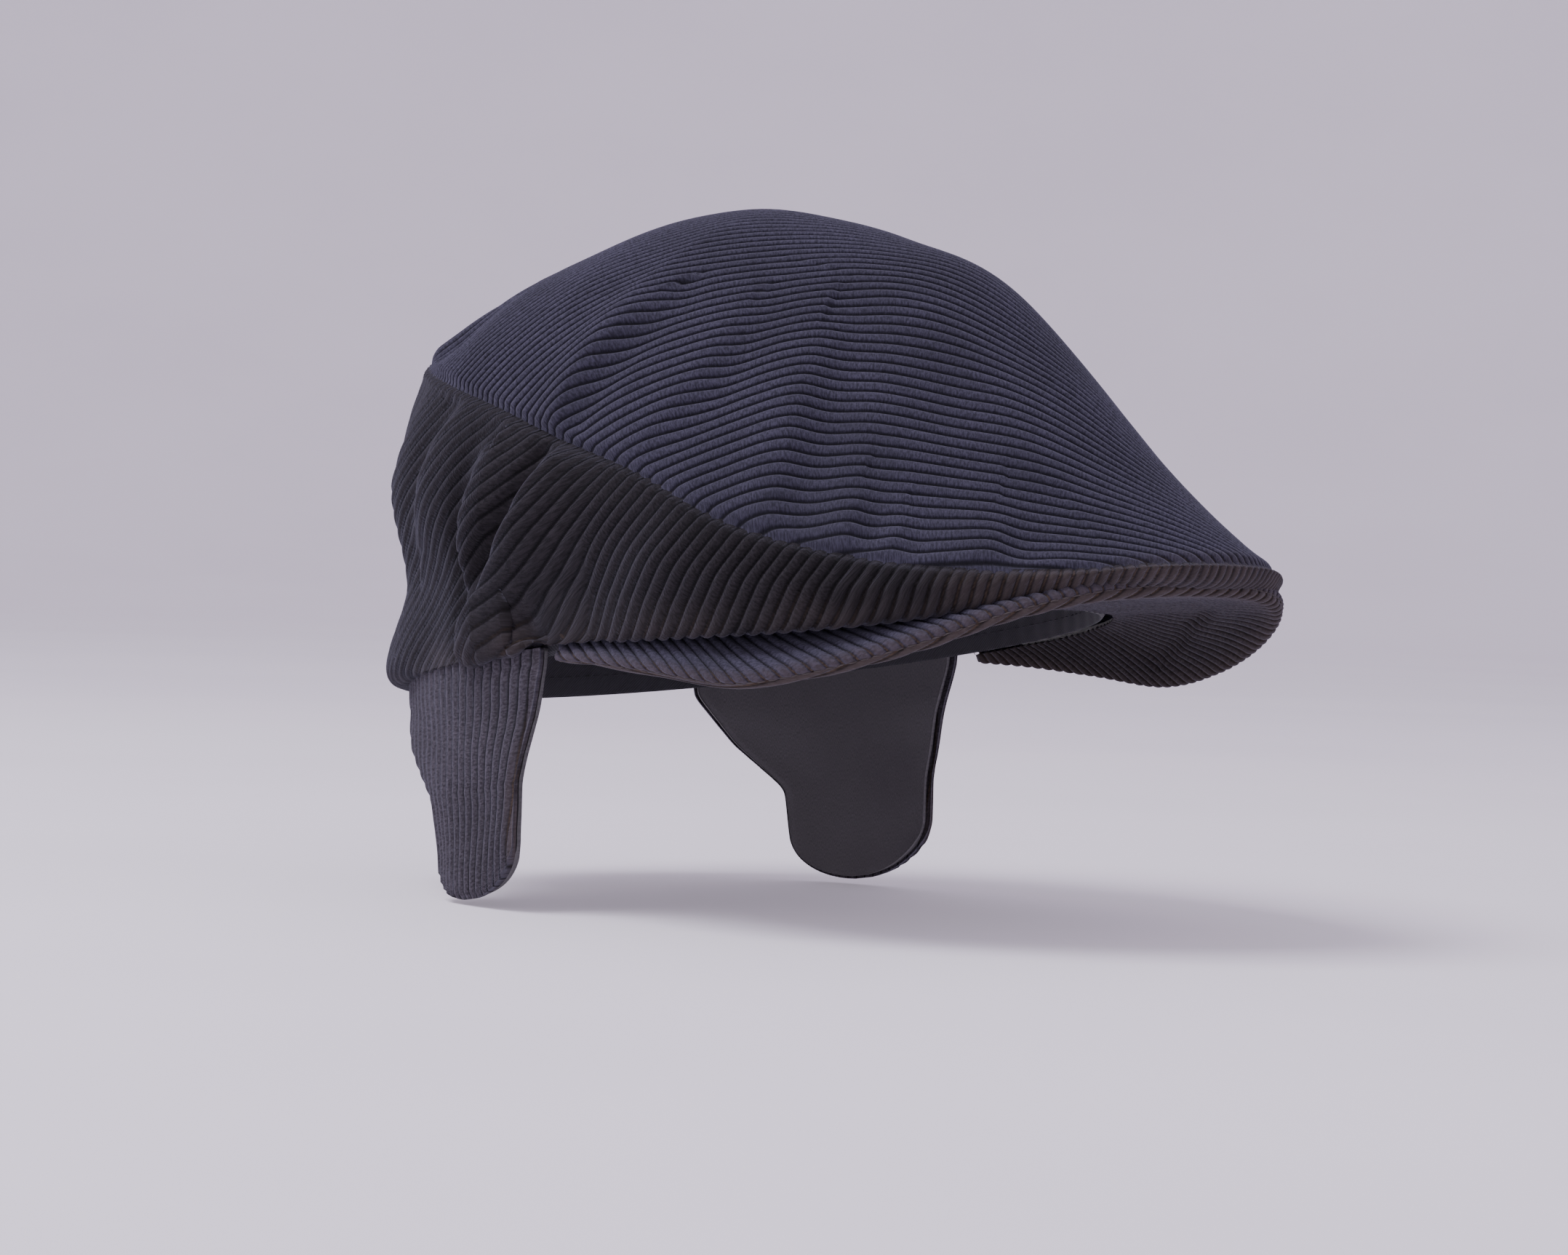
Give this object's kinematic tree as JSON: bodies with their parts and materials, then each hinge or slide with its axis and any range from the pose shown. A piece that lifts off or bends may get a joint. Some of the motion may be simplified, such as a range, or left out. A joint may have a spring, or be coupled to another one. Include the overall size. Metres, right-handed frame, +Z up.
{
  "type": "flat cap",
  "caption": "Wide-wale corduroy flat cap with a stiffened peak, lining, sweatband and ear flaps that fold up inside the crown.",
  "frame": {"origin": "middle of the head opening, on the hem line's mid plane", "axes": "+Z up as worn, the peak points along -Y, the wearer's right side is -X"},
  "size_m": [0.1862, 0.2687, 0.1894],
  "materials": {
    "corduroy": "wide-wale cotton corduroy pile, dark blue-grey",
    "lining": "woven satin lining, soft sheen",
    "sweatband": "cotton twill tape",
    "flap_lining": "brushed fleece",
    "peak_board": "plain polyethylene sheet"
  },
  "bodies": {
    "crown": {"crown_top_panel": "corduroy", "crown_side_panel_right": "corduroy", "crown_side_panel_left": "corduroy", "peak_top_cover": "corduroy", "peak_under_cover": "corduroy", "peak_board": "peak_board", "sweatband": "sweatband", "lining_top": "lining", "lining_side_right": "lining", "lining_side_left": "lining"},
    "flap_right": {"ear_flap_right_outer": "corduroy", "ear_flap_right_lining": "flap_lining"},
    "flap_left": {"ear_flap_left_outer": "corduroy", "ear_flap_left_lining": "flap_lining"}
  },
  "joints": [
    {"name": "ear_flap_right_fold", "type": "hinge", "parent": "crown", "child": "flap_right", "pos_m": [-0.0805, 0, -0.0015], "axis": [-0.3319, -0.9306, 0.1545], "range_deg": [-12, 165]},
    {"name": "ear_flap_left_fold", "type": "hinge", "parent": "crown", "child": "flap_left", "pos_m": [0.0805, 0, -0.0015], "axis": [-0.3319, 0.9306, -0.1545], "range_deg": [-12, 165]}
  ]
}
